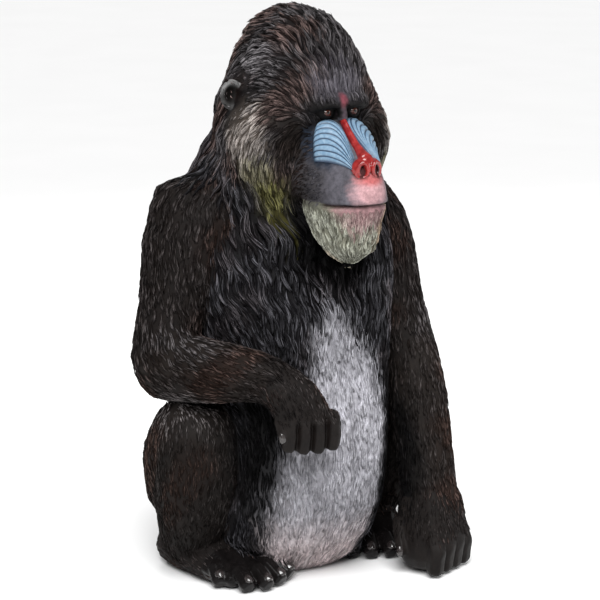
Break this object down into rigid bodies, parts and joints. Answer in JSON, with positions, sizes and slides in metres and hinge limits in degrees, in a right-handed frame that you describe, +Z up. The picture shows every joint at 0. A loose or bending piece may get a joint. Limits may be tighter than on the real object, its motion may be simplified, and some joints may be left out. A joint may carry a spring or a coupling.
{
  "type": "mandrill statue",
  "caption": "Life-size painted resin statue of a sitting male mandrill, one arm over its knee and one fist on the floor, with carved fur and a ribbed blue and red face.",
  "frame": {"origin": "on the flat underside of the rump, on the midline, straight below the tip of the crest", "axes": "+Z up through the crest's tip; the animal faces -Y; +X is the animal's left side"},
  "size_m": [0.5462, 0.4878, 0.897],
  "materials": {
    "coat_dark": "matt painted resin, near black, dry-brushed grey on the raised hair",
    "coat_brown": "matt painted resin, dark warm brown, dry-brushed grey",
    "skin_black": "satin black painted resin",
    "muzzle_grey": "matt painted resin, mottled grey with a pink lip",
    "beard_cream": "matt painted resin, cream with a green tinge",
    "nose_red": "gloss red painted resin",
    "ridge_blue": "satin light blue painted resin with darker blue grooves",
    "eye_amber": "gloss glass-like eye, amber brown"
  },
  "bodies": {
    "root": {"torso": "coat_dark", "neck": "coat_dark", "head": "coat_dark", "tail": "coat_brown", "muzzle": "muzzle_grey", "jaw": "beard_cream", "nose": "nose_red", "cheek_ridges_left": "ridge_blue", "cheek_ridges_right": "ridge_blue", "ear_left": "skin_black", "ear_right": "skin_black", "eye_left": "eye_amber", "eye_right": "eye_amber", "upper_arm_left": "coat_brown", "upper_arm_right": "coat_brown", "forearm_left": "coat_brown", "forearm_right": "coat_brown", "hand_left": "skin_black", "hand_right": "skin_black", "thigh_left": "coat_brown", "thigh_right": "coat_brown", "shin_left": "coat_brown", "shin_right": "coat_brown", "foot_left": "skin_black", "foot_right": "skin_black"}
  },
  "joints": []
}
